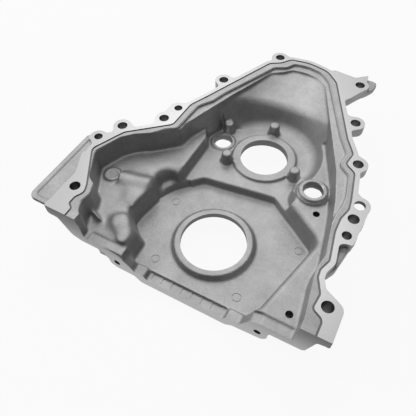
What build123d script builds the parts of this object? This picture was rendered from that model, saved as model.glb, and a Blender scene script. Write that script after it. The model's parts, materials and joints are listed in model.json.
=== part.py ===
from build123d import *
from math import atan2, degrees, radians, tan
import os

os.makedirs("parts", exist_ok=True)

# One die-cast aluminium timing cover, lying on its outer side with the machined
# engine face up. X runs across the cover, Y from the oil pan towards the peak.
# The origin is on the crank seal bore's axis, in the plane of its inner rim.

# Depths below the engine face
seal_rim_depth = 47.0
ledge_depth = 4.0
peak_floor_depth = 8.0
side_floor_depth = 27.0
side_strip_depth = 28.5
upper_floor_depth = 43.0
pan_step_depth = 50.0
crank_floor_depth = 53.0
crank_strip_depth = 55.0
rest_depth = 66.0

# Casting
wall = 5.5
draft = 4.0
pocket_draft = 8.0
ledge_draft = 20.0
flange_thickness = 11.0
floor_fillet = 2.5
shoulder_fillet = 6.0
step_fillet = 2.0
outer_chamfer = 1.5
edge_chamfer = 0.8
corner_softening = 3.0
rib_thickness = 4.0
rib_depth = 62.5

# The floor rises between these two places to meet the peak
peak_ramp_start = 160.0
peak_ramp_end = 235.0

# Sealing groove in the engine face
groove_width = 1.7
groove_depth = 1.0
rim_width = 5.5
land_drop = 0.4

# Oil pan face
pan_face_y = -65.5
pan_rail = 11.0
pan_strip = 10.0
pan_screw_radius = 3.4
pan_screw_length = 16.0

# Crank seal bore, on the origin
seal_bore_radius = 33.7
seal_rim_radius = 39.4
seal_rim_foot = 43.1
seal_lip = 6.3
seal_pocket_radius = 40.0
seal_boss_radius = 48.0
seal_boss_depth = 61.5

# Upper bore and the three screw bosses around it
upper_bore = (0.0, 122.5)
upper_bore_radius = 26.9
upper_ring_radius = 36.4
upper_ring_depth = 40.0
upper_lip = 8.0
upper_pocket_radius = 32.0
upper_boss_radius = 39.0
upper_boss_depth = 54.0
upper_screw_circle = 42.5
upper_screw_angles = (98, 213, 343)
lone_screw = (-55.0, 144.0)
peg_foot_radius = 7.2
peg_top_radius = 5.6
peg_top_depth = 28.5
peg_chamfer = 1.2
peg_screw_radius = 3.4
peg_screw_length = 17.0
screw_boss_radius = 8.5
screw_boss_depth = 50.0

# The bowl round the upper bore, and the long scoop that runs up into the peak
bowl_floor_radius = 56.0
bowl_mouth_radius = 76.0
bowl_foot_fillet = 14.0
bowl_arc = (-22.0, 176.0)
recess_arc_radius = 50.0
recess_arc = (-12.0, 152.0)
scoop_radius = 105.0
scoop_middle = -3.0
scoop_start = 120.0
bowl_rim_fillet = 14.0

# Small bores either side of the upper bore
small_bore_radius = 10.2
bore_chamfer = 0.8
left_bore = (-53.0, 124.5)
left_ring_radius = 14.2
left_ring_depth = 41.0
right_bore = (68.5, 86.5)
right_ring_radius = 14.8
right_ring_depth = 21.0

# Engine bolts: place, hole radius, depth of the lug under the face
large_hole = 5.4
small_hole = 4.5
lug_margin = 4.6
lug_step = 0.5
lug_flare = 2.0
lug_fillet = 5.0
bolts = [
    (-133.5, -33.5, large_hole, 26.0),
    (-154.5, 32.0, small_hole, 12.0),
    (-141.5, 57.5, large_hole, 12.0),
    (-108.0, 88.5, large_hole, 12.0),
    (-102.5, 110.0, small_hole, 12.0),
    (-80.5, 178.0, large_hole, 12.0),
    (-38.5, 249.5, large_hole, 12.0),
    (64.5, 242.0, large_hole, 12.0),
    (79.0, 177.0, large_hole, 12.0),
    (99.0, 120.0, large_hole, 12.0),
    (115.5, 70.5, large_hole, 4.0),
    (115.0, 53.0, large_hole, 17.0),
    (115.0, 33.0, small_hole, 17.0),
    (122.5, -39.0, large_hole, 30.0),
]

# Outlines on the engine face: corners as x, y and corner radius
groove_corners = [
    (-119.5, -70.0, 0), (-119.5, -56.5, 4), (-125.0, -52.5, 3), (-125.0, -44.5, 6),
    (-120.5, -35.5, 8), (-124.5, -26.5, 8), (-149.5, 15.0, 9), (-134.0, 50.0, 10),
    (-94.0, 84.5, 9), (-93.0, 121.5, 18), (-82.5, 144.5, 9), (-77.5, 156.5, 10),
    (-45.0, 232.5, 7), (-32.5, 240.5, 6), (-24.5, 251.5, 6), (-2.5, 255.0, 40),
    (22.5, 249.5, 25), (38.5, 234.0, 20), (78.5, 150.0, 10), (90.5, 131.0, 7),
    (88.0, 115.0, 6), (99.5, 107.0, 8), (106.5, 73.0, 8), (108.0, 61.5, 8),
    (104.5, 48.5, 12), (104.5, 32.5, 30), (110.0, 1.5, 6), (106.0, -9.5, 6),
    (106.5, -17.5, 6), (113.5, -31.5, 7), (112.0, -46.0, 5), (122.5, -51.5, 6),
    (122.5, -70.0, 0),
]
mouth_corners = [
    (-107.5, -70.0, 0), (-107.5, -59.5, 3), (-113.0, -56.0, 3), (-118.5, -45.5, 6),
    (-116.5, -34.5, 6), (-120.5, -23.5, 4), (-129.0, -19.0, 5), (-146.5, 13.5, 8),
    (-134.5, 42.5, 9), (-124.5, 53.0, 8), (-109.5, 62.5, 8), (-99.5, 75.5, 7),
    (-89.0, 82.5, 6), (-86.5, 124.5, 18), (-75.5, 140.5, 6), (-70.5, 156.5, 10),
    (-38.0, 229.0, 7), (-25.0, 235.5, 6), (-18.5, 246.5, 6), (-2.5, 249.5, 40),
    (17.5, 245.0, 25), (32.0, 232.0, 20), (72.0, 151.5, 9), (86.0, 129.5, 7),
    (84.0, 112.5, 8), (96.5, 102.5, 7), (102.5, 75.5, 12), (102.5, 61.5, 6),
    (100.5, 50.5, 12), (100.5, 33.5, 20), (106.5, 5.5, 7), (104.0, -7.5, 6),
    (104.5, -18.5, 10), (110.5, -53.5, 8), (109.5, -70.0, 0),
]
wall_corners = [
    (-108.0, -70.0, 0), (-108.0, -59.5, 3), (-113.0, -55.5, 3), (-117.0, -45.5, 6),
    (-115.5, -34.5, 7), (-120.0, -22.5, 4), (-129.0, -17.5, 5), (-145.5, 13.5, 10),
    (-134.0, 42.5, 9), (-123.5, 53.5, 8), (-109.5, 62.5, 8), (-95.5, 75.0, 8),
    (-85.5, 83.5, 9), (-84.5, 97.0, 20), (-60.5, 165.5, 20), (-37.5, 221.5, 12),
    (-24.5, 230.5, 8), (-16.5, 238.5, 8), (-1.5, 241.0, 40), (15.5, 237.5, 20),
    (28.5, 227.5, 20), (82.0, 106.5, 60), (93.5, 69.0, 60),
    (100.5, 35.5, 30), (105.5, 5.5, 7), (103.5, -7.5, 6), (104.0, -18.5, 10),
    (109.5, -53.5, 8), (109.0, -70.0, 0),
]
side_end = 158.0
crank_corners = [
    (-60.5, -55.5, 4), (-61.5, -32.5, 5), (-71.0, -27.5, 6), (-82.5, -18.0, 4),
    (-82.5, -8.0, 4), (-77.0, 28.5, 8), (-72.0, 37.5, 8), (-46.0, 65.0, 10),
    (33.0, 75.0, 8), (90.5, 34.5, 8), (69.0, -51.0, 6), (62.5, -55.5, 3),
]
recess_corners = [
    (-59.5, 152.0, 12), (-71.5, 121.0, 5), (-64.5, 109.0, 4), (-64.5, 45.0, 0),
    (33.0, 58.0, 0), (57.0, 69.5, 6), (46.5, 81.0, 8), (46.5, 95.0, 8),
]

# Plates that widen the flange beyond its even rim
flange_plates = [
    [(-144.5, -70.0, 0), (-144.5, -19.5, 8), (-161.5, 19.5, 5), (-120.0, -10.0, 0),
     (-112.0, -70.0, 0)],
    [(135.5, -70.0, 0), (135.5, -34.5, 9), (118.0, -25.5, 0), (100.0, -20.0, 0),
     (100.0, -70.0, 0)],
    [(30.0, 256.0, 0), (56.0, 253.0, 6), (68.5, 264.0, 1), (70.5, 247.0, 2),
     (75.5, 243.5, 5), (61.5, 214.0, 8), (50.0, 200.0, 0), (20.0, 245.0, 0)],
    [(100.0, 24.5, 0), (123.0, 24.5, 2), (125.0, 65.0, 8), (118.0, 78.5, 8),
     (100.0, 90.0, 0)],
    [(-112.5, 92.0, 4), (-112.5, 114.0, 6), (-92.0, 126.0, 0), (-92.0, 88.0, 0)],
]

# Profiles across the oil pan face: x, depth and corner radius
pan_rail_corners = [
    (-144.5, 0, 0), (-144.5, 12.0, 3), (-133.0, 13.0, 4), (-122.0, 34.0, 6),
    (-112.0, 38.0, 6), (-83.0, 38.5, 2), (-80.0, 55.0, 4), (-74.0, 58.5, 3),
    (-53.0, 59.0, 3), (-46.5, 66.0, 4), (46.0, 66.0, 4), (53.0, 61.0, 4),
    (82.0, 58.0, 4), (86.5, 52.0, 3), (87.5, 40.0, 2), (119.0, 39.0, 5),
    (125.5, 12.5, 3), (132.0, 11.0, 2), (135.5, 6.0, 2), (135.5, 0, 0),
]
pan_mouth_corners = [
    (-109.5, -2.0, 0), (-109.0, ledge_depth, 0), (-102.5, side_strip_depth, 3),
    (-83.0, side_strip_depth, 6), (-64.0, 37.0, 4), (-55.5, 45.0, 3),
    (-52.5, pan_step_depth, 2), (-41.5, pan_step_depth, 2),
    (-39.0, crank_strip_depth, 2), (44.0, crank_strip_depth, 2),
    (46.5, pan_step_depth, 2), (60.0, pan_step_depth, 3), (69.0, 33.0, 4),
    (79.0, side_strip_depth, 5), (107.5, side_strip_depth, 3), (109.5, 2.0, 0),
    (110.0, -2.0, 0),
]
pan_screws = [(-71.5, 48.0), (77.5, 47.0)]
pan_boss_radius = 8.0
pan_boss_length = 19.0

# Features of the left floor: an oil well with a half-round boss in it, a
# half-round ridge over an oil passage, a pad, two soft mounds and a fin
oil_well = (-73.5, 34.7)
oil_well_mouth = 14.0
oil_well_floor = 10.5
oil_well_depth = 46.0
well_boss = (-72.5, 39.0)
well_boss_radius = 7.0
well_boss_top = 38.5
oil_pad = (-127.5, 12.0)
oil_pad_radius = 9.3
oil_pad_dish = 6.3
oil_pad_dish_depth = 0.6
oil_ridge_start = (-117.5, 12.5)
oil_ridge_end = (-84.0, 21.5)
oil_ridge_radius = 8.3
oil_ridge_height = 5.8
pad_height = 2.5
left_pad = [
    (-105.0, 6.0, 4), (-98.0, -10.0, 3), (-86.0, -14.5, 3), (-78.0, -20.0, 0),
    (-78.0, 20.0, 0), (-100.0, 16.0, 4),
]
mound_draft = 30.0
mound_fillet = 2.5
mounds = [
    ([(-95.0, -34.5, 4), (-83.5, -25.0, 4), (-73.0, -35.0, 3), (-85.0, -46.0, 4)], 6.5),
    ([(-84.0, -43.0, 4), (-75.0, -33.5, 3), (-66.0, -42.5, 4), (-75.0, -52.0, 4)], 5.0),
]
fin_start = (-121.5, -36.0)
fin_end = (-101.0, -44.5)
fin_thickness = 2.5
fin_height = 8.0

# Blind holes in the right floor: place and radius
floor_holes = [(81.0, 63.5, 3.5), (97.0, -46.5, 3.5)]
floor_hole_length = 12.0
right_web_start = (79.0, 98.0)
right_web_end = (90.0, 102.0)

# Places lower than the engine face, outside the flange: corners and depths
low_shelves = [
    ([(108.0, 30.0, 0), (122.5, 30.0, 2), (117.5, 0.0, 4), (112.0, -10.0, 3),
      (105.0, -6.0, 0)], 7.0, 17.0),
    ([(60.0, 245.0, 0), (67.0, 264.0, 2), (79.0, 264.0, 3), (81.0, 259.0, 3),
      (80.0, 250.0, 4), (74.0, 238.0, 6), (62.0, 226.0, 0)], 6.0, 12.0),
]

# Thin mounting wing beside the left of the flange
wing_corners = [
    (-167.5, -63.5, 8), (-167.5, 29.0, 2), (-163.0, 33.0, 0), (-140.0, 20.0, 0),
    (-140.0, -63.5, 0),
]
wing_drop = 1.3
wing_thickness = 4.5
wing_border = 5.5
wing_panel_depth = 1.8

# Ribs on the outer side, from the boss at the crank out to the walls
outer_ribs = [
    ((-20.0, 40.0), (-26.0, 92.0)), ((20.0, 40.0), (26.0, 92.0)),
    ((-36.0, 28.0), (-74.0, 44.0)), ((38.0, 26.0), (78.0, 36.0)),
    ((-45.0, -14.0), (-78.0, -22.0)), ((45.0, -14.0), (74.0, -22.0)),
    ((-24.0, -40.0), (-30.0, -60.0)), ((24.0, -40.0), (30.0, -60.0)),
]


def level(depth):
    """Height of the plane so far below the engine face."""
    return seal_rim_depth - depth


def outline(corners):
    """A flat face in the engine face, from corners with their radii."""
    points = [(x, y) for x, y, radius in corners]
    radii = [radius for x, y, radius in corners]
    path = FilletPolyline(*points, radius=radii, close=True)
    return Pos(0, 0, level(0)) * make_face(path)


def sink(face, top, bottom, taper=0.0):
    """The block under a face between two depths, narrowing downwards."""
    return extrude(Pos(0, 0, -top) * face, -(bottom - top), taper=taper)


def soften(face, radius):
    """The same face with its sharp outer and inner corners rounded."""
    return offset(offset(offset(face, -radius), 2 * radius), -radius)


def drum(center, radius, top, bottom):
    """An upright cylinder between two depths."""
    x, y = center
    middle = level((top + bottom) / 2)
    return Pos(x, y, middle) * Cylinder(radius, bottom - top)


def bottom_edges(solid):
    """The edges round the faces that look down."""
    edges = ShapeList()
    for face in solid.faces():
        if face.normal_at().Z < -0.9:
            edges += face.edges()
    return edges


def flange_face():
    """The outline of the engine face: an even rim, its lugs and plates."""
    groove_face = outline(groove_corners)
    face = offset(groove_face, rim_width)
    path = groove_face.wire()
    for x, y, hole, depth in bolts:
        center = Vector(x, y, level(0))
        nearest = path.distance_to_with_closest_points(center)[1]
        lug = Pos(center) * Circle(hole + lug_margin)
        root = Pos(nearest) * Circle(hole + lug_margin + lug_flare)
        face += make_hull((lug + root).edges())
    for corners in flange_plates:
        face += outline(corners)
    return offset(offset(face, lug_fillet), -lug_fillet)


def pan_block(corners, depth):
    """A block behind the oil pan face, from its profile in X and depth."""
    points = [(x, pan_face_y - 1, level(deep)) for x, deep, radius in corners]
    radii = [radius for x, deep, radius in corners]
    face = make_face(FilletPolyline(*points, radius=radii, close=True))
    return extrude(face, depth + 1, dir=(0, 1, 0))


def pocket(floor_face, top, floor):
    """A drafted pocket from the outline of its floor, with a rounded foot."""
    growth = tan(radians(pocket_draft)) * (floor - top)
    block = sink(offset(floor_face, growth), top, floor, pocket_draft)
    return fillet(bottom_edges(block), floor_fillet)


def upper_recess_face():
    """The floor round the upper bore, down the left wall to the crank pocket."""
    x, y = upper_bore
    start, sweep = recess_arc
    arc = CenterArc((x, y, level(0)), recess_arc_radius, start, sweep)
    corners = [Vector(x, y, level(0)) for x, y, radius in recess_corners]
    radii = [radius for x, y, radius in recess_corners]
    rest = FilletPolyline(arc @ 1, *corners, arc @ 0, radius=radii)
    return soften(make_face(Wire([arc.edge(), *rest.edges()])), corner_softening)


def bowl(extra):
    """The round bowl about the upper bore's axis, or its shell outside."""
    floor = level(upper_floor_depth + extra)
    mouth = bowl_mouth_radius + extra
    points = [(0, 0, floor), (bowl_floor_radius + extra, 0, floor), (mouth, 0, level(0))]
    curve = FilletPolyline(*points, radius=bowl_foot_fillet)
    closing = Polyline(points[-1], (0, 0, level(0)), points[0])
    section = make_face(curve.edges() + closing.edges())
    start, sweep = bowl_arc
    return Pos(*upper_bore) * Rot(0, 0, start) * revolve(section, Axis.Z, sweep)


def scoop(extra):
    """The trough that climbs into the peak, or its shell outside."""
    rise = side_floor_depth - peak_floor_depth
    tilt = degrees(atan2(rise, peak_ramp_end - peak_ramp_start))
    foot = Pos(scoop_middle, peak_ramp_start, level(side_floor_depth))
    rod = Rot(90, 0, 0) * Cylinder(scoop_radius + extra, 400)
    rod = foot * Rot(tilt, 0, 0) * Pos(0, 0, scoop_radius) * rod
    return rod - Pos(0, scoop_start - 200, 0) * Box(600, 400, 600)


def casting_outside():
    """Everything that the casting fills, before its pockets are taken out."""
    body = sink(flange_face(), 0, flange_thickness)
    for x, y, hole, depth in bolts:
        if depth < flange_thickness:
            body -= drum((x, y), hole + lug_margin, depth, flange_thickness + 1)
            continue
        lug = drum((x, y), hole + lug_margin - lug_step, 1, depth)
        body += chamfer(lug.edges().sort_by(Axis.Z)[0], edge_chamfer)
    skirt_face = offset(outline(wall_corners), wall)
    skirt = sink(skirt_face, 1, side_floor_depth + wall, draft)
    skirt = chamfer(bottom_edges(skirt), outer_chamfer)
    front = Pos(0, side_end + wall - 300, 0) * Box(600, 600, 300)
    body += skirt & (scoop(wall) + front)
    recess_face = offset(upper_recess_face(), wall)
    recess = sink(recess_face, 10, upper_floor_depth + wall)
    body += chamfer(bottom_edges(recess), outer_chamfer)
    body += bowl(wall) & sink(skirt_face, 1, upper_floor_depth + 2 * wall, draft)
    crank_face = offset(outline(crank_corners), wall)
    crank = sink(crank_face, 10, crank_floor_depth + wall)
    body += chamfer(bottom_edges(crank), outer_chamfer)
    boss = drum(oil_well, oil_well_floor + 2 * wall, side_floor_depth + 1, oil_well_depth + wall)
    body += chamfer(boss.edges().sort_by(Axis.Z)[0], outer_chamfer)
    for corners, top, bottom in low_shelves:
        body += sink(outline(corners), top, bottom)
    return body + pan_block(pan_rail_corners, pan_rail) + wing()


def wing():
    """The thin plate beside the flange, with a shallow panel in its face."""
    plate = sink(outline(wing_corners), wing_drop, wing_drop + wing_thickness)
    panel = offset(outline(wing_corners), -wing_border)
    return plate - sink(panel, wing_drop - 1, wing_drop + wing_panel_depth)


def shoulder_edges(solid, depth):
    """The edges of a block's face at that depth where deeper walls begin."""
    edges = ShapeList()
    for face in solid.faces():
        flat = face.normal_at().Z < -0.9
        if flat and abs(face.center().Z - level(depth)) < 0.01:
            edges += face.edges()
    deeper = ShapeList()
    for face in solid.faces():
        if face.center().Z < level(depth) - 0.5:
            deeper += face.edges()
    return ShapeList(edge for edge in edges if any(edge.is_same(one) for one in deeper))


def lower_hollow():
    """The wide side floor with the crank pocket and the oil well sunk in it."""
    side = sink(outline(wall_corners), -1, side_floor_depth, draft)
    side -= Pos(0, side_end + 100, 0) * Box(300, 200, 200)
    side = fillet(bottom_edges(side), floor_fillet)
    depth = oil_well_depth - side_floor_depth
    well = Cone(oil_well_floor, oil_well_mouth, depth)
    well = fillet(well.edges().sort_by(Axis.Z)[0], floor_fillet)
    side += pocket(outline(crank_corners), side_floor_depth - 3, crank_floor_depth)
    side += Pos(*oil_well, level(side_floor_depth) - depth / 2) * well
    return fillet(shoulder_edges(side, side_floor_depth), shoulder_fillet)


def upper_hollow():
    """The bowl and the scoop inside the walls, with a soft rim between them."""
    walls = sink(outline(wall_corners), -1, upper_floor_depth + 1, draft)
    hollow = (bowl(0) + scoop(0)) & walls
    curves = hollow.edges().filter_by(GeomType.BSPLINE)
    rim = [edge for edge in curves if (edge @ 0.5).Z < level(peak_floor_depth + 5)]
    rim = ShapeList(rim).sort_by(SortBy.LENGTH)[-1]
    return fillet(rim, bowl_rim_fillet)


def casting_inside():
    """The pockets that make the cover a shell, open at the face and the pan."""
    recess = pocket(upper_recess_face(), peak_floor_depth + 2, upper_floor_depth)
    recess &= sink(outline(wall_corners), 0, upper_floor_depth + 1, draft)
    hollow = lower_hollow() + recess
    hollow = fillet(shoulder_edges(hollow, upper_floor_depth), step_fillet)
    hollow += sink(outline(mouth_corners), -1, ledge_depth, ledge_draft)
    hollow += upper_hollow()
    return hollow + pan_block(pan_mouth_corners, pan_strip)


def peg(center):
    """A tapered round peg, the blind end of a screw boss, rising off the floor."""
    x, y = center
    height = upper_floor_depth + 1 - peg_top_depth
    cone = Cone(peg_foot_radius, peg_top_radius, height)
    cone = chamfer(cone.edges().sort_by(Axis.Z)[-1], peg_chamfer)
    return Pos(x, y, level(peg_top_depth) - height / 2) * cone


def screw_places():
    """Where the blind screws enter from the outer side, round the upper bore."""
    x, y = upper_bore
    places = [lone_screw]
    for angle in upper_screw_angles:
        place = Vector(x, y) + Vector(upper_screw_circle, 0).rotate(Axis.Z, angle)
        places.append((place.X, place.Y))
    return places


def ring(center, radius, top, bottom):
    """A raised ring face round a bore, with a softened outer edge."""
    block = drum(center, radius, top, bottom)
    return chamfer(block.edges().sort_by(Axis.Z)[-1], edge_chamfer)


def rib(start, end, thickness, top, bottom):
    """A straight upright rib between two places, with rounded ends."""
    along = Vector(*end) - Vector(*start)
    angle = degrees(atan2(along.Y, along.X))
    middle = (Vector(*start) + Vector(*end)) * 0.5
    face = Pos(middle.X, middle.Y, level(0)) * Rot(0, 0, angle)
    return sink(face * SlotOverall(along.length + thickness, thickness), top, bottom)


def oil_ridge():
    """The low round-backed ridge over an oil passage in the left floor."""
    start = Vector(*oil_ridge_start, level(side_floor_depth))
    end = Vector(*oil_ridge_end, level(side_floor_depth))
    sunk = Vector(0, 0, oil_ridge_height - oil_ridge_radius)
    section = Plane(origin=start + sunk, z_dir=end - start) * Circle(oil_ridge_radius)
    rod = extrude(section, (end - start).length)
    slab_top = side_floor_depth - oil_ridge_radius
    return rod & drum(oil_ridge_start, 100, slab_top, side_floor_depth + 1)


def mound(corners, height):
    """A soft low block on the left floor, with sloping sides."""
    floor = side_floor_depth
    block = sink(outline(corners), floor - height, floor + 1, -mound_draft)
    return fillet(block.faces().sort_by(Axis.Z)[-1].edges(), mound_fillet)


def left_floor():
    """The ridge, pads, mounds and fin that stand on the left floor."""
    floor = side_floor_depth
    shapes = oil_ridge()
    shapes += ring(oil_pad, oil_pad_radius, floor - pad_height, floor + 1)
    top = floor - pad_height
    shapes -= drum(oil_pad, oil_pad_dish, top - 1, top + oil_pad_dish_depth)
    pad = sink(outline(left_pad), floor - pad_height, floor + 1)
    shapes += chamfer(pad.faces().sort_by(Axis.Z)[-1].edges(), edge_chamfer)
    for corners, height in mounds:
        shapes += mound(corners, height)
    shapes += ring(well_boss, well_boss_radius, well_boss_top, crank_floor_depth + 1)
    shapes += rib(fin_start, fin_end, fin_thickness, floor - fin_height, floor + 1)
    return shapes


def inner_bosses():
    """Rings, pegs, ridges and pads that stand up inside the cover."""
    foot = Cone(seal_rim_foot, seal_rim_radius, crank_floor_depth - seal_rim_depth)
    shapes = Pos(0, 0, -(crank_floor_depth - seal_rim_depth) / 2) * foot
    shapes += ring(upper_bore, upper_ring_radius, upper_ring_depth, upper_floor_depth + 1)
    shapes += ring(left_bore, left_ring_radius, left_ring_depth, upper_floor_depth + 1)
    shapes += ring(right_bore, right_ring_radius, right_ring_depth, upper_floor_depth + 1)
    for place in screw_places():
        shapes += peg(place)
    web_top = right_ring_depth + 2
    shapes += rib(right_web_start, right_web_end, fin_thickness, web_top, side_floor_depth + 1)
    return shapes + left_floor()


def outer_bosses():
    """Bosses on the outer side, machined flush where the cover can lie on them."""
    shapes = drum((0, 0), seal_boss_radius, crank_floor_depth + 1, seal_boss_depth)
    shapes += drum(upper_bore, upper_boss_radius, upper_floor_depth + 1, upper_boss_depth)
    for place in screw_places():
        shapes += drum(place, screw_boss_radius, upper_floor_depth + 1, screw_boss_depth)
    for x, y, hole in floor_holes:
        boss_end = side_floor_depth + floor_hole_length + wall / 2
        shapes += drum((x, y), hole + lug_margin, side_floor_depth + 1, boss_end)
    for start, end in outer_ribs:
        top = upper_floor_depth + 2
        shapes += rib(start, end, rib_thickness, top, rib_depth)
    for x, depth in pan_screws:
        shapes += pan_drum(x, depth, pan_boss_radius, pan_boss_length)
    return shapes


def pan_drum(x, depth, radius, length):
    """A lying cylinder that starts at the oil pan face."""
    place = Pos(x, pan_face_y + length / 2, level(depth))
    return place * Rot(90, 0, 0) * Cylinder(radius, length)


def seal_bore(center, radius, pocket_radius, top, lip, bottom):
    """A through bore with a wider seal pocket entered from the outer side."""
    hole = drum(center, radius, top - 1, bottom + 1)
    return hole + drum(center, pocket_radius, top + lip, bottom + 1)


def countersink(center, radius, depth):
    """A cone that chamfers the mouth of a bore at that depth."""
    x, y = center
    cone = Cone(radius, radius + 2 * bore_chamfer, 2 * bore_chamfer)
    return Pos(x, y, level(depth)) * cone


def machining():
    """What the cutters take off the casting."""
    cuts = seal_bore((0, 0), seal_bore_radius, seal_pocket_radius,
                     seal_rim_depth, seal_lip, seal_boss_depth)
    cuts += seal_bore(upper_bore, upper_bore_radius, upper_pocket_radius,
                      upper_ring_depth, upper_lip, upper_boss_depth)
    cuts += drum(left_bore, small_bore_radius, left_ring_depth - 1, rest_depth)
    cuts += drum(right_bore, small_bore_radius, right_ring_depth - 1, rest_depth)
    cuts += countersink(left_bore, small_bore_radius, left_ring_depth)
    cuts += countersink(right_bore, small_bore_radius, right_ring_depth)
    for x, y, hole, depth in bolts:
        cuts += drum((x, y), hole, -1, rest_depth)
    for x, y, hole in floor_holes:
        bottom = side_floor_depth + floor_hole_length
        cuts += drum((x, y), hole, side_floor_depth - 2, bottom)
    for place in screw_places():
        top = screw_boss_depth - peg_screw_length
        cuts += drum(place, peg_screw_radius, top, screw_boss_depth + 1)
    for x, depth in pan_screws:
        cuts += pan_drum(x, depth, pan_screw_radius, pan_screw_length)
    groove_face = outline(groove_corners)
    wide = sink(offset(groove_face, groove_width / 2), -1, groove_depth)
    narrow = sink(offset(groove_face, -groove_width / 2), -1, groove_depth)
    cuts += wide - narrow
    cuts += sink(offset(groove_face, -groove_width / 2), -1, land_drop)
    below_pan = Box(400, 40, 200)
    return cuts + Pos(0, pan_face_y - 20, 0) * below_pan


def timing_cover():
    """The finished cover: the casting, then its machined faces and bores."""
    casting = casting_outside() + outer_bosses()
    casting -= casting_inside()
    casting += inner_bosses()
    return casting - machining()


cover = timing_cover()
export_step(cover, "parts/timing_cover.step")
print("timing_cover", len(cover.solids()), "solid", round(cover.volume), "mm3")
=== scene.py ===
# %% [markdown]
# A die-cast timing cover, seen from the engine side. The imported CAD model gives
# every size and place. The real cover is made in two steps, and this scene follows
# them: first the casting, whose edges are all soft because metal has to flow round
# them and leave the die, and then the cutters, which leave crisp bright faces.

# %% Load the frame
import json
from math import pi, radians, sqrt

import bmesh
import bpy
import numpy as np
from mathutils import Matrix, Vector


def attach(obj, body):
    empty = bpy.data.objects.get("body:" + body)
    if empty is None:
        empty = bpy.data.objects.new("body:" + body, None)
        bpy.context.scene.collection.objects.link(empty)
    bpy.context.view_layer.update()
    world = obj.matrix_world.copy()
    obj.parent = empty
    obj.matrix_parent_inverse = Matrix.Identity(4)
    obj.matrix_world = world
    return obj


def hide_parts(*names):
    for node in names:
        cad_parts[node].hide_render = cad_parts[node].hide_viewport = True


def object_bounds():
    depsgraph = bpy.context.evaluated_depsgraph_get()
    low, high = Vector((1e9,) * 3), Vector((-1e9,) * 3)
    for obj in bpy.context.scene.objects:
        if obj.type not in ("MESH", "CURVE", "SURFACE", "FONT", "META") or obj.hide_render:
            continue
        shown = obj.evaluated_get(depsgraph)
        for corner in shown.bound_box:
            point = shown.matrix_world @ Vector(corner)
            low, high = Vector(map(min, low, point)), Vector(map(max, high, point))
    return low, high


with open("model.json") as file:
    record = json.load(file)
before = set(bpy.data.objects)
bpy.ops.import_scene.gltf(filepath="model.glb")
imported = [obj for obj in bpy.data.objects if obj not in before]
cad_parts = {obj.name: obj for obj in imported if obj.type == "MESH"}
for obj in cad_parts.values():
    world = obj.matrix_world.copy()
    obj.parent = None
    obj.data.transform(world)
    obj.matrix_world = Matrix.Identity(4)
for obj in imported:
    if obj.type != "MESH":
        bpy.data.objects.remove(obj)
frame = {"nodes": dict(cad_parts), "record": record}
cad_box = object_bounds()
cad_cover = frame["nodes"]["timing_cover"]
mounts = frame["record"]["mounts"]
mm = 0.001
up = np.array([0.0, 0.0, 1.0])
down = -up
box_low, box_high = (np.array(corner) for corner in cad_box)
print("CAD box", cad_box, "with", len(mounts), "mounts")

# %% [markdown]
# The mounts in the record say where each bore and face is, so nothing has to be
# measured again. Positions are in metres and radii in millimetres.

# %% Read the mounts
flat_faces = {m["name"]: m for m in mounts if m["kind"] == "flat_face"}
holes = {m["name"]: m for m in mounts if m["kind"] in ("bore", "threaded_hole")}
engine_face_z = flat_faces["engine_face"]["pos_m"][2]
pan_face_y = flat_faces["oil_pan_face"]["pos_m"][1]
print("engine face at", engine_face_z, "oil pan face at", pan_face_y)

# %% [markdown]
# ## The casting
# Stock is the extra metal that a casting carries where a cutter will pass later.
# A merged copy of the CAD mesh gets its machined faces moved outwards by that much,
# and its holes filled. A voxel remesh then gives an even skin, and smoothing rounds
# its edges by about 1 mm, as in a die casting. A plain bevel would need clean edge
# loops, which a mesh from CAD does not have.


# %% Mesh helpers
def add_piece(name, mesh):
    """A new object in the scene for a mesh."""
    piece = bpy.data.objects.new(name, mesh)
    bpy.context.scene.collection.objects.link(piece)
    return piece


def get_points(mesh):
    """All vertex places of a mesh as an N by 3 array."""
    points = np.empty(len(mesh.vertices) * 3, np.float32)
    mesh.vertices.foreach_get("co", points)
    return points.reshape(-1, 3)


def set_points(mesh, points):
    """Puts an N by 3 array of places back into a mesh."""
    mesh.vertices.foreach_set("co", np.ascontiguousarray(points, np.float32).ravel())
    mesh.update()


def of_polygons(mesh, name, width, kind=np.float32):
    """One property of all polygons of a mesh, as an array with that many columns."""
    values = np.empty(len(mesh.polygons) * width, kind)
    mesh.polygons.foreach_get(name, values)
    return values.reshape(-1, width)


def with_modifiers(piece):
    """Swaps a piece's mesh for the one its modifiers give."""
    graph = bpy.context.evaluated_depsgraph_get()
    mesh = bpy.data.meshes.new_from_object(piece.evaluated_get(graph))
    piece.modifiers.clear()
    piece.data = mesh


# %% Copy the CAD mesh
def merged_copy(source, name):
    """A copy of a CAD mesh with its loose triangles joined and its stored normals left out."""
    body = bmesh.new()
    body.from_mesh(source.data)
    bmesh.ops.remove_doubles(body, verts=body.verts, dist=1e-6)
    mesh = bpy.data.meshes.new(name)
    body.to_mesh(mesh)
    body.free()
    mesh.attributes.remove(mesh.attributes["custom_normal"])
    return add_piece(name, mesh)


sharp = merged_copy(cad_cover, "sharp_cover")
casting = merged_copy(cad_cover, "timing_cover_casting")
print("merged copy has", len(casting.data.vertices), "points")

# %% [markdown]
# Stock goes on three kinds of face: the engine face, the oil pan face, and the flat
# ends of the bosses on the outer side. A boss end is found by its mount's place and
# by its radius here, in millimetres.

# %% Add the stock
stock = 2.0 * mm
face_depth = 1.1 * mm
level_slack = 0.03 * mm
boss_radii = {"crank_seal_pocket": 48.0, "upper_seal_pocket": 39.0}
boss_radii |= {f"accessory_screw_{number}": 8.5 for number in range(1, 5)}


def near(values, target):
    """Where values lie on a plane."""
    return np.abs(values - target) < level_slack


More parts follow.
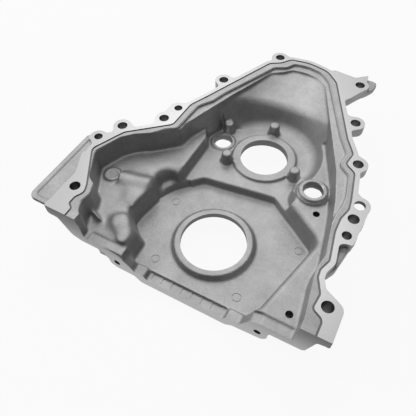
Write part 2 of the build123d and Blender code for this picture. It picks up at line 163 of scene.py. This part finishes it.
def boss_ends():
    """Place and radius of the flat end of each boss on the outer side."""
    for name, radius in boss_radii.items():
        half = holes[name]["dims"]["length_mm"] * mm / 2
        x, y, z = holes[name]["pos_m"]
        yield np.array([x, y, z - half]), radius * mm


def add_stock(piece):
    """Moves the points of each face that will be machined outwards."""
    points = get_points(piece.data)
    x, y, z = points.T
    top = z > engine_face_z - face_depth
    raised = np.where(top, engine_face_z + stock, z)
    for place, radius in boss_ends():
        inside = np.hypot(x - place[0], y - place[1]) < radius
        raised[near(z, place[2]) & inside] = place[2] - stock
    pushed = np.where(near(y, pan_face_y), y - stock, y)
    set_points(piece.data, np.column_stack([x, pushed, raised]))
    print("stock on", int(top.sum()), "points of the engine face")


add_stock(casting)

# %% [markdown]
# Every bore is described by a place, an axis out of its mouth, a radius and the
# distances along the axis where it starts and ends. The upper seal pocket also has
# a narrower lip bore above it. The lip and the two small bores open in raised rings,
# whose levels in millimetres are given here.

# %% Read the bores
ring_levels = {"left_plug_bore": 6.0, "right_plug_bore": 26.0}
upper_lip = {"radius": 26.9, "level": 7.0}


def bore_of(mount):
    """Place, axis, radius, start and end of one stated hole."""
    place = np.array(mount["pos_m"])
    axis = np.array(mount["axis"])
    half = mount["dims"]["length_mm"] * mm / 2
    if mount["name"] == "crank_bore":
        place = place - axis * half
    start = -half
    if mount["name"] in ring_levels:
        start = place[2] - ring_levels[mount["name"]] * mm
    return place, axis, mount["dims"]["r_mm"] * mm, start, half


def lip_of(pocket, radius, level):
    """The same for the lip bore above a seal pocket, up to its ring."""
    top = pocket["pos_m"][2] + pocket["dims"]["length_mm"] * mm / 2
    place = np.array([*pocket["pos_m"][:2], top])
    return place, up, radius * mm, 0.0, level * mm - top


bores = [bore_of(mount) for mount in holes.values()]
bores.append(lip_of(holes["upper_seal_pocket"], **upper_lip))
print(len(bores), "bores")

# %% [markdown]
# The holes are filled with plugs, so that the remesh sees a solid casting there and
# each hole can be bored sharp later. The shapes for this and the next steps are all
# closed rows of points: a row is joined to the next by square faces, and the first
# and the last are closed. Booleans then join them, as a blank is built up.

# %% Shape helpers
drum_sides = 96


def loft(lower, upper):
    """A closed solid between two outlines of as many points each."""
    count = len(lower)
    first = np.arange(count)
    nxt = np.roll(first, -1)
    walls = np.column_stack([first, nxt, nxt + count, first + count]).tolist()
    caps = [first[::-1].tolist(), (first + count).tolist()]
    return np.concatenate([lower, upper]), walls + caps


def drum(place, axis, radius, start, end):
    """A closed cylinder: a circle of points swept along an axis between two places on it."""
    turn = np.linspace(0, 2 * pi, drum_sides, endpoint=False)
    side = np.array(Vector(axis).orthogonal().normalized())
    other = np.cross(axis, side)
    circle = radius * (np.outer(np.cos(turn), side) + np.outer(np.sin(turn), other))
    return loft(*(place + circle + axis * step for step in (start, end)))


def block(first, last):
    """The eight corners and six faces of a box between two corners."""
    corner = np.indices((2, 2, 2)).reshape(3, -1).T
    points = np.where(corner == 0, first, last)
    faces = [(0, 1, 3, 2), (4, 6, 7, 5), (0, 4, 5, 1), (2, 3, 7, 6), (0, 2, 6, 4), (1, 5, 7, 3)]
    return points, faces


def solid(name, shape):
    """A piece from points and faces."""
    points, faces = shape
    mesh = bpy.data.meshes.new(name)
    mesh.from_pydata(points.tolist(), [], faces)
    return add_piece(name, mesh)


# %% Fill the holes
plug_margin = 0.8 * mm


def boolean(piece, other, kind):
    """Joins or cuts a piece with another, which is then deleted."""
    step = piece.modifiers.new(kind, "BOOLEAN")
    step.operation = kind
    step.solver = "MANIFOLD"
    step.object = other
    with_modifiers(piece)
    bpy.data.objects.remove(other)


def joined(shapes):
    """One closed piece from overlapping shapes."""
    pieces = [solid("shape", shape) for shape in shapes]
    whole = pieces.pop(0)
    for piece in pieces:
        boolean(whole, piece, "UNION")
    return whole


plugs = [drum(place, axis, radius + plug_margin, start, end)
         for place, axis, radius, start, end in bores]
boolean(casting, joined(plugs), "UNION")
print("holes filled:", len(plugs))

# %% [markdown]
# The left floor of a real cover looks molten: broad forms run into each other there.
# The CAD solids have them as plain shapes, so a wider back for the oil ridge, a lump
# that joins the mounds to the wall and a strip by the oil pan are added here. So are
# a cone under the ring of the right bore and, behind the lone peg, the missing
# stretch of the leaning wall of the bowl round the upper bore. Places and sizes are
# in millimetres.

# %% Added forms
ridge_ends = np.array([(-118.0, 12.5, 15.2), (-84.0, 18.5, 15.2)]) * mm
ridge_radius = 11.0 * mm
lump_place = np.array((-71.0, -48.5, 0.0)) * mm
lump_radius = 7.0 * mm
lump_top = 24.0 * mm
strip_corners = np.array([(-92.0, -65.4, 0.0), (-63.0, -54.0, 18.5)]) * mm
bowl_axis = (0.0, 122.5)
bowl_angles = np.radians(np.linspace(145.0, 161.0, 9))
bowl_rows = [(2.0, 54.6, 68.0), (37.0, 71.5, 76.0)]
cone_axis = (68.5, 86.5)
cone_angles = np.linspace(0.0, 2.0 * pi, 64, endpoint=False)
cone_rows = [(2.0, 23.5), (23.0, 16.5)]


def at_level(outline, level):
    """An outline in the plane, lifted to a level, in metres."""
    return np.column_stack([outline, np.full(len(outline), level)]) * mm


def around(angles):
    """Places on a circle of radius one: cosine and sine of each angle."""
    return np.column_stack([np.cos(angles), np.sin(angles)])


def ridge():
    """A drum that lies between two places."""
    first, last = ridge_ends
    length = np.linalg.norm(last - first)
    return drum(first, (last - first) / length, ridge_radius, 0.0, length)


def bowl_stretch():
    """A stretch of the bowl's leaning wall: arcs about its axis at two levels."""
    rows = []
    for level, near_radius, far_radius in bowl_rows:
        arc = around(bowl_angles)
        outline = np.concatenate([near_radius * arc, far_radius * arc[::-1]]) + bowl_axis
        rows.append(at_level(outline[::-1], level))
    return loft(*rows)


def ring_cone():
    """A cone's stump: circles about its axis at two levels, the upper one smaller."""
    return loft(*(at_level(radius * around(cone_angles) + cone_axis, level)
                  for level, radius in cone_rows))


lump = drum(lump_place, up, lump_radius, 0.0, lump_top)
forms = [ridge(), lump, block(*strip_corners), bowl_stretch(), ring_cone()]
boolean(casting, joined(forms), "UNION")
print(len(forms), "forms added")

# %% [markdown]
# Metal is also taken away. The boss in the oil well is cut down to the slope of the
# crank pocket, and that wall and the shoulder below it lean more than the CAD's. A
# relief sunk from the outer side behind the right bore lets light through it. These
# are rooms: each is the empty space beside a wall, and a Boolean takes it off.

# %% Rooms cut away
well_boss_place = np.array((-72.5, 39.0, 4.0)) * mm
well_boss_radius = 9.0 * mm
well_boss_height = 12.0 * mm
pocket_room = {"edge": [(-80.0, 23.0), (-76.0, 31.5), (-70.5, 41.0), (-58.0, 54.5)],
               "reach": (11.0, -11.0), "slope": (-1.6, 1.6), "levels": (-5.9, 9.0)}
shoulder_room = {"edge": [(-80.5, -20.0), (-80.5, -8.0), (-77.5, 14.0), (-75.0, 26.0)],
                 "reach": (12.0, 0.0), "slope": (-7.0, 2.0), "levels": (15.5, 25.0)}
relief_top = 17.5 * mm
relief_places = [(70.0, 85.0), (69.0, 92.0), (68.0, 98.0)]
relief_radius = 11.0 * mm


def sloping_room(edge, reach, slope, levels):
    """The room beside a sloping wall: its edge moves by the slope from level to level."""
    edge = np.array(edge)
    outline = np.concatenate([edge, edge[::-1] + reach])
    shift = np.concatenate([np.tile(slope, (len(edge), 1)), np.zeros_like(edge)])
    rows = [at_level((outline + share * shift)[::-1], level)
            for level, share in zip(levels, (0, 1))]
    return loft(*rows)


def reliefs():
    """Overlapping drums sunk from the outer side behind the right bore."""
    for x, y in relief_places:
        place = np.array([x * mm, y * mm, relief_top])
        yield drum(place, down, relief_radius, 0.0, relief_top - box_low[2])


boss_room = drum(well_boss_place, up, well_boss_radius, 0.0, well_boss_height)
rooms = [sloping_room(**pocket_room), sloping_room(**shoulder_room), boss_room, *reliefs()]
boolean(casting, joined(rooms), "DIFFERENCE")
print(len(rooms), "rooms cut away")

# %% [markdown]
# Inside two boxes, about the left floor and behind the lone peg, the skin flows:
# each point moves towards the middle of its neighbours many times, so that the added
# forms melt into the floor. The pull fades over the borders of the boxes, and the
# rest of the casting keeps its shape.

# %% Let the soft forms flow
flow_boxes = np.array([[(-118.0, -56.0, -4.0), (-60.0, 58.0, 34.0)],
                       [(-72.0, 148.5, 8.0), (-42.0, 172.0, 40.0)]]) * mm
flow_edge = 5.0 * mm
flow_pull = 0.5
flow_steps = 70


def flow_weights(points):
    """One inside the boxes of soft forms, falling to nought over their borders."""
    inside = [np.minimum(points - first, last - points).min(axis=1) for first, last in flow_boxes]
    return np.clip(np.max(inside, axis=0) / flow_edge, 0.0, 1.0)


def flow(piece):
    """Moves each point towards the middle of its neighbours, again and again."""
    points = get_points(piece.data).astype(float)
    ends = np.empty(len(piece.data.edges) * 2, np.int32)
    piece.data.edges.foreach_get("vertices", ends)
    first, last = ends.reshape(-1, 2).T
    count = np.bincount(ends, minlength=len(points))[:, None]
    pull = flow_weights(points)[:, None] * flow_pull
    for _ in range(flow_steps):
        total = np.zeros_like(points)
        for axis in range(3):
            total[:, axis] += np.bincount(first, points[last, axis], len(points))
            total[:, axis] += np.bincount(last, points[first, axis], len(points))
        points += pull * (total / count - points)
    set_points(piece.data, points)
    print(int((pull > 0).sum()), "points flow")


# %% Soften the casting
voxel = 1.0 * mm
smooth_steps = 5
kept_share = 0.36


def soften(piece):
    """Even skin, rounded edges, then fewer triangles where it is flat."""
    skin = piece.modifiers.new("skin", "REMESH")
    skin.mode = "VOXEL"
    skin.voxel_size = voxel
    with_modifiers(piece)
    flow(piece)
    smooth = piece.modifiers.new("smooth", "SMOOTH")
    smooth.factor = 0.5
    smooth.iterations = smooth_steps
    fewer = piece.modifiers.new("fewer", "DECIMATE")
    fewer.ratio = kept_share
    with_modifiers(piece)


soften(casting)
print("casting has", len(casting.data.polygons), "faces")

# %% [markdown]
# Ejector pins push the casting out of its die and leave four shallow round marks on
# the crank floor. A row of seven shallow blank panels lies along the strip in front.
# Both are cut after the softening, which would wipe out anything so fine.

# %% Sink the marks
crank_floor = -6.0 * mm
pin_places = [(-61.3, 28.4), (-43.0, -42.2), (46.3, -42.0), (78.9, 32.0)]
pin_radius = 4.1 * mm
pin_line = 0.9 * mm
front_strip = -8.0 * mm
panel_start = np.array([-35.5, -62.8]) * mm
panel_size = np.array([8.8, 6.6]) * mm
panel_pitch = 10.75 * mm
panel_count = 7
mark_depth = 0.5 * mm


def ring_groove(place, radius):
    """A closed ring of square section, swept round the vertical, half sunk in a floor."""
    circle = around(np.linspace(0, 2 * pi, drum_sides, endpoint=False))
    section = [(-1, -mark_depth), (1, -mark_depth), (1, stock), (-1, stock)]
    rows = []
    for side, height in section:
        ring = (radius + side * pin_line / 2) * circle
        rows.append(place + np.column_stack([ring, np.full(drum_sides, height)]))
    first = np.arange(drum_sides)
    nxt = np.roll(first, -1)
    faces = []
    for row in range(len(rows)):
        here = row * drum_sides
        there = (row + 1) % len(rows) * drum_sides
        faces += np.column_stack([first + here, nxt + here, nxt + there, first + there]).tolist()
    return np.concatenate(rows), faces


def die_marks():
    """Rings and blocks that dip a little way into the floor and the strip."""
    for x, y in pin_places:
        yield ring_groove(np.array([x * mm, y * mm, crank_floor]), pin_radius)
    for number in range(panel_count):
        corner = panel_start + np.array([number * panel_pitch, 0.0])
        first = np.array([*corner, front_strip - mark_depth])
        last = np.array([*(corner + panel_size), front_strip + stock])
        yield block(first, last)


boolean(casting, joined(die_marks()), "DIFFERENCE")
print(len(pin_places), "pin marks and", panel_count, "panels")

# %% [markdown]
# ## Machining
# In each zone that a cutter reaches, the finished cover is exactly the CAD shape.
# So the cutter is the zone less the sharp CAD mesh, and one Boolean takes it off
# the soft casting. The zones are a slab over each flat face and a drum about each
# bore and boss end, all read from the mounts.

# %% Build the zones
reach = 6.0 * mm
skim = 0.06 * mm
boss_margin = 0.5 * mm
bore_margin = 0.15 * mm
mouth_margin = 1.1 * mm
end_margin = 0.6 * mm


def face_zones():
    """A slab over the engine face and one over the oil pan face."""
    yield block(np.array([*(box_low[:2] - reach), engine_face_z - face_depth]), box_high + reach)
    pan_high = np.array([box_high[0] + reach, pan_face_y + skim, box_high[2] + reach])
    yield block(box_low - reach, pan_high)


def drum_zones():
    """Drums over the boss ends, about the bores and in the mouths of the small bores."""
    for place, radius in boss_ends():
        yield drum(place, down, radius + boss_margin, -skim, reach)
    for place, axis, radius, start, end in bores:
        yield drum(place, axis, radius + bore_margin, start - end_margin, end + reach)
    for name, level in ring_levels.items():
        center = np.array([*holes[name]["pos_m"][:2], level * mm])
        radius = holes[name]["dims"]["r_mm"] * mm + mouth_margin
        yield drum(center, up, radius, -mouth_margin, reach)


zones = [*face_zones(), *drum_zones()]
print(len(zones), "zones")

# %% [markdown]
# The three finishes are three material slots: cast skin, milled face, and painted shade:
# a darker grey for the groove and the hole walls. A Boolean keeps the slots of the faces it
# cuts with, so the cutter brings the milled slot along. Two more rules follow by place: the
# land inside the sealing groove is as cast, and the groove and hole walls get painted shade.

# %% Finish slots
wall_slant = 0.3
cast_finish = bpy.data.materials.new("die_cast_aluminium_blasted")
milled_finish = bpy.data.materials.new("die_cast_aluminium_milled")
# the third material is painted shade: a darker grey for the groove and the hole walls
painted_shade_finish = bpy.data.materials.new("die_cast_aluminium_bored")
cast_slot, milled_slot, painted_shade_slot = range(3)


def use_finishes(piece, slot):
    """Gives a piece its material slots and sets all its faces to one of them."""
    piece.data.materials.clear()
    for finish in (cast_finish, milled_finish, painted_shade_finish):
        piece.data.materials.append(finish)
    slots = np.full(len(piece.data.polygons), slot, np.int32)
    piece.data.polygons.foreach_set("material_index", slots)


def set_slots(piece, chosen, slot):
    """Moves the chosen faces of a piece to another slot."""
    slots = of_polygons(piece.data, "material_index", 1, np.int32).ravel()
    slots[chosen] = slot
    piece.data.polygons.foreach_set("material_index", slots)


def on_wall(piece, place, axis, radius, start, end):
    """Which faces lie on a bore's wall: about its axis, and square to it."""
    offset = of_polygons(piece.data, "center", 3) - place
    along = offset @ axis
    out = np.linalg.norm(offset - np.outer(along, axis), axis=1)
    inside = (out < radius + bore_margin) & (along > start) & (along < end + bore_margin)
    return inside & (np.abs(of_polygons(piece.data, "normal", 3) @ axis) < wall_slant)


print("slots", cast_slot, milled_slot, painted_shade_slot)

# %% Machine the casting
land_drop = 0.4 * mm
groove_drop = 1.0 * mm
cutter = joined(zones)
boolean(cutter, sharp, "DIFFERENCE")
use_finishes(cutter, milled_slot)
use_finishes(casting, cast_slot)
boolean(casting, cutter, "DIFFERENCE")
cover = casting
cover.name = "timing_cover_machined"
heights = of_polygons(cover.data, "center", 3)[:, 2]
set_slots(cover, near(heights, engine_face_z - land_drop), cast_slot)
# painted shade: the groove and the hole walls take the darker grey that stands in for their shade
set_slots(cover, near(heights, engine_face_z - groove_drop), painted_shade_slot)
for bore in bores:
    set_slots(cover, on_wall(cover, *bore), painted_shade_slot)
print("machined cover has", len(heights), "faces")

# %% Mark the crisp edges
crisp_angle = radians(35)


def mark_sharp(piece):
    """A sharp edge at each corner over the crisp angle, and all along each cutter's edge."""
    mesh = piece.data
    mesh.set_sharp_from_angle(angle=crisp_angle)
    slots = of_polygons(mesh, "material_index", 1, np.int32).ravel()
    sides = of_polygons(mesh, "loop_total", 1, np.int32).ravel()
    edges = np.empty(len(mesh.loops), np.int32)
    mesh.loops.foreach_get("edge_index", edges)
    milled = np.repeat(slots > 0, sides).astype(float)
    count = np.bincount(edges, minlength=len(mesh.edges))
    total = np.bincount(edges, weights=milled, minlength=len(mesh.edges))
    border = (total > 0) & (total < count)
    sharp_edges = mesh.attributes["sharp_edge"]
    marks = np.empty(len(mesh.edges), bool)
    sharp_edges.data.foreach_get("value", marks)
    sharp_edges.data.foreach_set("value", marks | border)
    print(int((slots > 0).sum()), "faces are machined, with", int(border.sum()), "edges round them")


mark_sharp(cover)

# %% [markdown]
# ## Finishes
# All three finishes are the same aluminium and silicon die-casting alloy, with the
# default IOR of a metal. The die and shot blasting leave a fine matt grain that
# spreads light evenly. A face mill leaves a brighter, flatter face with fine tracks.
# A drill or a boring bar leaves a dull wall. Patterns read Object coordinates, in
# The groove and the hole walls get a darker grey, painted shade for the shade that falls
# in them. Patterns read Object coordinates, in metres, so each scale is one over a real width.


# %% Colour and node helpers
def colour(code):
    """Linear red, green, blue and alpha from an sRGB hex code."""
    values = np.array([int(code[i:i + 2], 16) for i in (1, 3, 5)]) / 255
    low_part = values / 12.92
    high_part = ((values + 0.055) / 1.055) ** 2.4
    return (*np.where(values <= 0.04045, low_part, high_part).tolist(), 1.0)


def node(tree, kind, settings=(), values=(), links=()):
    """Adds one shader node with its settings, socket values and incoming links."""
    new = tree.nodes.new("ShaderNode" + kind)
    for key, value in dict(settings).items():
        setattr(new, key, value)
    for key, value in dict(values).items():
        new.inputs[key].default_value = value
    for key, socket in dict(links).items():
        tree.links.new(socket, new.inputs[key])
    return new


# %% Cast finish
# The clouds are the metal's flow. The blasted grain is really about 0.2 mm wide,
# too fine to show, so it is drawn as coarse as it needs to be.
cloud_width = 22.0 * mm
grain_width = 1.4 * mm
grain_height = 0.3 * mm


def blasted_aluminium(finish):
    """Matt grey skin: mottled by the metal's flow, with a fine blasted grain."""
    finish.use_nodes = True
    tree = finish.node_tree
    shader = tree.nodes["Principled BSDF"]
    shader.inputs["Metallic"].default_value = 1.0
    place = node(tree, "TexCoord").outputs["Object"]
    cloud = node(tree, "TexNoise", links={"Vector": place},
                 values={"Scale": 1.0 / cloud_width, "Detail": 6.0, "Roughness": 0.65})
    grain = node(tree, "TexNoise", links={"Vector": place},
                 values={"Scale": 1.0 / grain_width, "Detail": 3.0})
    blend = node(tree, "Math", settings={"operation": "ADD"},
                 links={0: cloud.outputs["Fac"], 1: grain.outputs["Fac"]})
    share = node(tree, "MapRange", values={"From Min": 0.7, "From Max": 1.3},
                 links={"Value": blend.outputs[0]})
    tone = node(tree, "MixRGB", values={"Color1": colour("#999999"), "Color2": colour("#B7B7B7")},
                links={"Fac": share.outputs["Result"]})
    tree.links.new(tone.outputs["Color"], shader.inputs["Base Color"])
    rough = node(tree, "MapRange", values={"To Min": 0.5, "To Max": 0.68},
                 links={"Value": grain.outputs["Fac"]})
    tree.links.new(rough.outputs["Result"], shader.inputs["Roughness"])
    bump = node(tree, "Bump", values={"Strength": 0.7, "Distance": grain_height},
                links={"Height": grain.outputs["Fac"]})
    tree.links.new(bump.outputs["Normal"], shader.inputs["Normal"])
    print(finish.name, "has", len(tree.nodes), "nodes")


blasted_aluminium(cast_finish)

# %% Milled finish
# A wave node on the diagonal turns by ten times its scale for each unit of x + y.
track_pitch = 1.5 * mm
track_scale = 2.0 * pi / (10.0 * sqrt(2.0) * track_pitch)


def milled_aluminium(finish):
    """Bright flat face with fine diagonal tracks."""
    finish.use_nodes = True
    tree = finish.node_tree
    shader = tree.nodes["Principled BSDF"]
    shader.inputs["Metallic"].default_value = 1.0
    shader.inputs["Base Color"].default_value = colour("#B2B2B2")
    place = node(tree, "TexCoord").outputs["Object"]
    tracks = node(tree, "TexWave", settings={"bands_direction": "DIAGONAL"},
                  values={"Scale": track_scale, "Distortion": 1.5, "Detail": 2.0},
                  links={"Vector": place})
    rough = node(tree, "MapRange", values={"To Min": 0.32, "To Max": 0.42},
                 links={"Value": tracks.outputs["Fac"]})
    tree.links.new(rough.outputs["Result"], shader.inputs["Roughness"])
    print(finish.name, "has", len(tree.nodes), "nodes")


milled_aluminium(milled_finish)


# %% Painted shade finish
def painted_shade_aluminium(finish):
    """Painted shade: a darker grey for the walls of the holes and the groove, where little light
    reaches.
    """
    finish.use_nodes = True
    shader = finish.node_tree.nodes["Principled BSDF"]
    shader.inputs["Metallic"].default_value = 1.0
    # a darker grey painted in for the shade inside the holes and the groove
    shader.inputs["Base Color"].default_value = colour("#6C6C6C")
    shader.inputs["Roughness"].default_value = 0.5
    print(finish.name, "is plain")


painted_shade_aluminium(painted_shade_finish)

# %% Put the cover in the frame
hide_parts("timing_cover")
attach(cover, "root")
print(cover.name, "rides the casting's body")

# %% [markdown]
# ## Studio
# The floor and backdrop are plain pale, and the metal reflects them. One broad soft
# light hangs over the engine face and a weaker one fills in from the left. Grey
# cards stand at the right and in front, and one lies in front, as a photographer
# places them beside bright metal, so that the walls that face them turn darker and
# show their form.

# %% Floor
floor_half = 3.0
floor_level = box_low[2] - 0.5 * mm
glow_share = 0.92


def seen_rays(tree):
    """One for rays that the eye, a metal or a glass sees by, nought for soft light."""
    rays = node(tree, "LightPath")
    total = rays.outputs["Is Camera Ray"]
    for name in ("Is Glossy Ray", "Is Transmission Ray"):
        add = node(tree, "Math", settings={"operation": "MAXIMUM"},
                   links={0: total, 1: rays.outputs[name]})
        total = add.outputs[0]
    return total


def pale_paper():
    """White paper that shadows fall on, and that glows a little for whoever sees it."""
    paper = bpy.data.materials.new("pale_paper")
    paper.use_nodes = True
    tree = paper.node_tree
    shader = tree.nodes["Principled BSDF"]
    shader.inputs["Base Color"].default_value = colour("#F4F4F4")
    shader.inputs["Roughness"].default_value = 0.9
    glow = node(tree, "Emission", values={"Color": (1, 1, 1, 1), "Strength": 1.0})
    share = node(tree, "Math", settings={"operation": "MULTIPLY"}, values={1: glow_share},
                 links={0: seen_rays(tree)})
    mix = node(tree, "MixShader", links={0: share.outputs[0], 1: shader.outputs[0],
                                         2: glow.outputs[0]})
    tree.links.new(mix.outputs[0], tree.nodes["Material Output"].inputs["Surface"])
    return paper


def sheet(name, corners, finish):
    """A flat four-cornered sheet with one material."""
    mesh = bpy.data.meshes.new(name)
    mesh.from_pydata(corners, [], [(0, 1, 2, 3)])
    mesh.materials.append(finish)
    piece = add_piece(name, mesh)
    return piece


floor_corners = [(-floor_half, -floor_half, floor_level), (floor_half, -floor_half, floor_level),
                 (floor_half, floor_half, floor_level), (-floor_half, floor_half, floor_level)]
sheet("floor", floor_corners, pale_paper())
print("floor at", floor_level)

# %% World
room_strength = 0.3


def studio_world():
    """A white backdrop to the eye, and a soft grey room to everything else."""
    world = bpy.data.worlds.new("studio")
    world.use_nodes = True
    tree = world.node_tree
    room = tree.nodes["Background"]
    room.inputs["Color"].default_value = colour("#FFFFFF")
    room.inputs["Strength"].default_value = room_strength
    backdrop = node(tree, "Background", values={"Color": (1, 1, 1, 1), "Strength": 1.0})
    mix = node(tree, "MixShader", links={0: seen_rays(tree), 1: room.outputs[0],
                                         2: backdrop.outputs[0]})
    tree.links.new(mix.outputs[0], tree.nodes["World Output"].inputs["Surface"])
    bpy.context.scene.world = world
    print("room strength", room_strength)


studio_world()

# %% Cards
right_x = 0.45
left_x = -1.2
front_near = -0.09
front_far = -0.6
back_y = 1.2
card_low = floor_level + 1.0 * mm
card_top = 0.9
right_corners = [(right_x, front_far, card_low), (right_x, back_y, card_low),
                 (right_x, back_y, card_top), (right_x, front_far, card_top)]
low_corners = [(left_x, front_far, card_low), (right_x, front_far, card_low),
               (right_x, front_near, card_low), (left_x, front_near, card_low)]
front_corners = [(left_x, front_far, card_low), (right_x, front_far, card_low),
                 (right_x, front_far, card_top), (left_x, front_far, card_top)]
card_corners = {"right_card": right_corners, "low_card": low_corners, "front_card": front_corners}
grey_card = bpy.data.materials.new("grey_card")
grey_card.use_nodes = True
grey_card.node_tree.nodes["Principled BSDF"].inputs["Base Color"].default_value = colour("#5E5E5E")


def reflected_only(card):
    """Hides a sheet from all but reflections."""
    card.visible_camera = False
    card.visible_diffuse = False
    card.visible_shadow = False


for name, corners in card_corners.items():
    reflected_only(sheet(name, corners, grey_card))
print(len(card_corners), "cards")

# %% Lights
lamp_size = 0.8
lamps = {"top_light": ((-0.35, 0.75, 1.1), 4.2), "fill_light": ((-1.2, -0.2, 0.8), 3.3)}
middle = Vector((box_low + box_high) / 2)


def softbox(name, place, power):
    """A square area light that faces the middle of the cover."""
    lamp = bpy.data.lights.new(name, "AREA")
    lamp.size = lamp_size
    lamp.energy = power
    box = add_piece(name, lamp)
    aim = middle - Vector(place)
    box.matrix_world = Matrix.Translation(place) @ aim.to_track_quat("-Z", "Y").to_matrix().to_4x4()


for name, (place, power) in lamps.items():
    softbox(name, place, power)
print(len(lamps), "lights")

# %% [markdown]
# ## Camera
# The camera stands where the photograph was taken from: low over the oil pan side,
# to the right, looking down at the engine face. It was worked out from the right
# angle between the two machined faces.

# %% Camera
camera_place = Vector((111.7, -210.0, 372.0)) * mm
camera_target = Vector((-7.2, 2.7, 47.0)) * mm
camera_roll = radians(-1.11)
lens_mm = 38.06


def stand_camera():
    """A camera at its place, aimed and rolled, made the scene's own."""
    lens = bpy.data.cameras.new("camera")
    lens.lens = lens_mm
    lens.clip_start = 0.01
    stand = add_piece("camera", lens)
    turn = (camera_target - camera_place).to_track_quat("-Z", "Y").to_matrix().to_4x4()
    roll = Matrix.Rotation(camera_roll, 4, "Z")
    stand.matrix_world = Matrix.Translation(camera_place) @ turn @ roll
    bpy.context.scene.camera = stand
    print("camera with a lens of", lens_mm, "mm")


stand_camera()

# %% Colour view
bpy.context.scene.view_settings.view_transform = "Standard"
